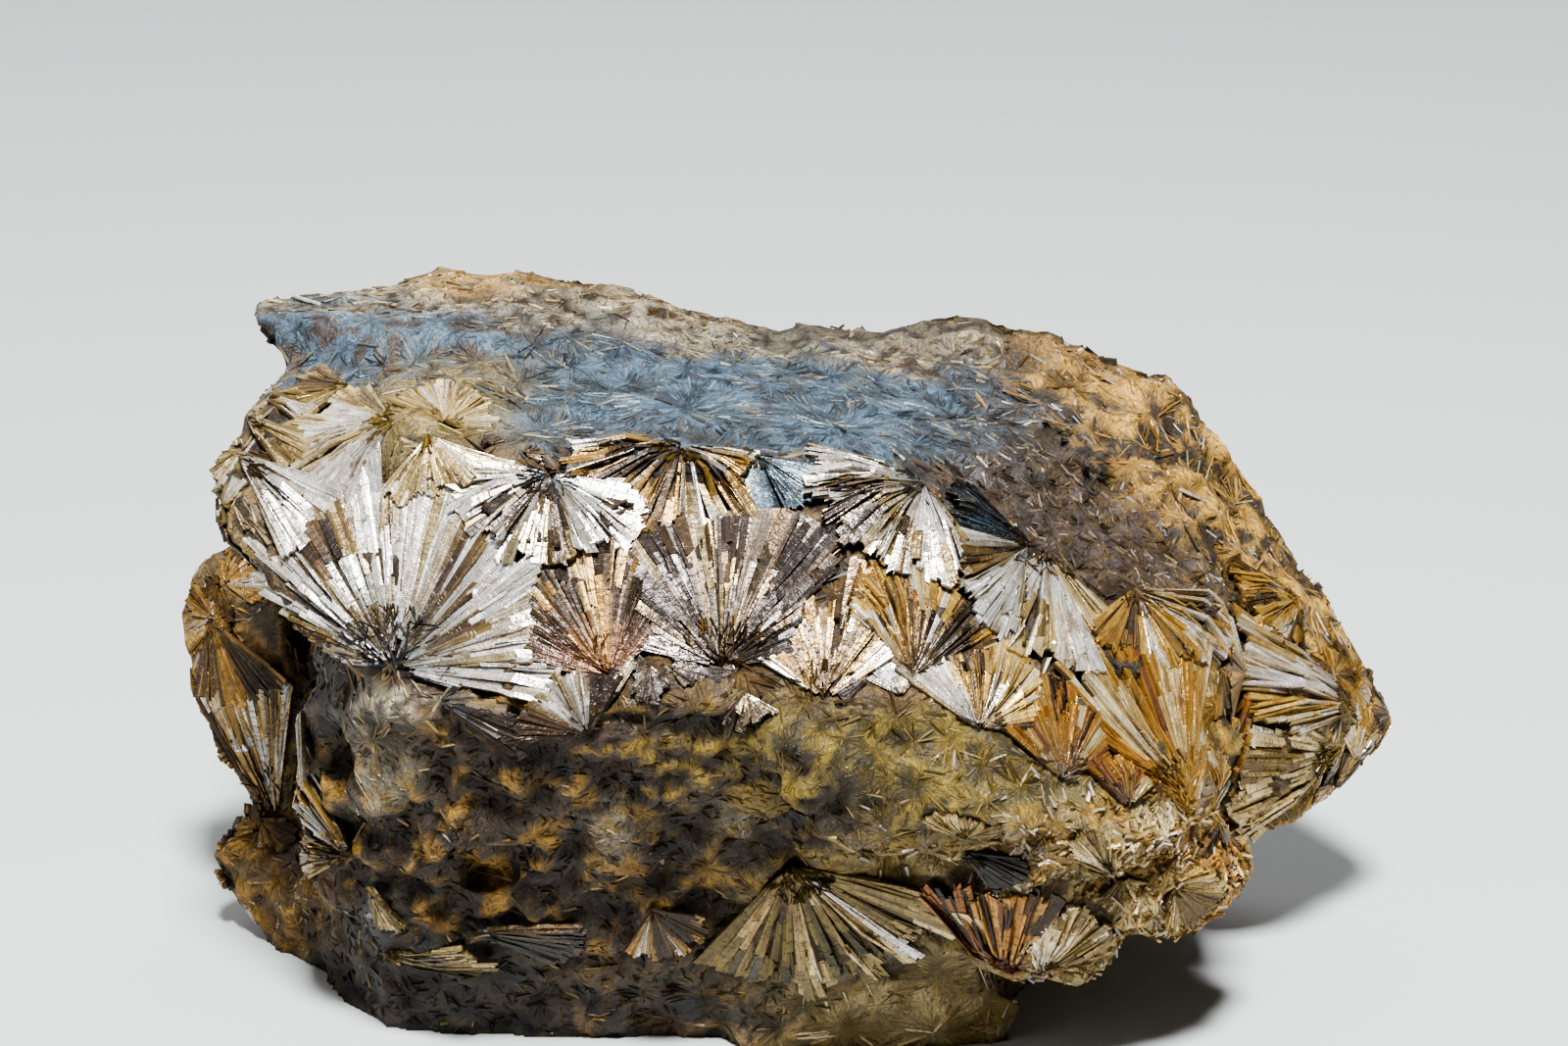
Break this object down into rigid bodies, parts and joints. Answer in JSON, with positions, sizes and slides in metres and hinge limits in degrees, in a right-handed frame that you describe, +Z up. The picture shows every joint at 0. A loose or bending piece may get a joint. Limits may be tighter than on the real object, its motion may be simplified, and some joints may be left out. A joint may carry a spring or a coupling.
{
  "type": "pyrophyllite mineral specimen",
  "caption": "Broken lump of honey-brown and steel-grey pyrophyllite, covered in radiating fans of flat pearly blades, standing on a flat break.",
  "frame": {"origin": "centre of the box's base, on the flat break that the lump stands on", "axes": "+X along the lump's length, +Y away from its display side, +Z up"},
  "size_m": [0.1238, 0.0738, 0.067],
  "materials": {
    "pyrophyllite": "pearly, radiating blades of honey, silver and plum, with steel-grey felt and brown shaded breaks"
  },
  "bodies": {
    "root": {"pyrophyllite_specimen": "pyrophyllite"}
  },
  "joints": []
}
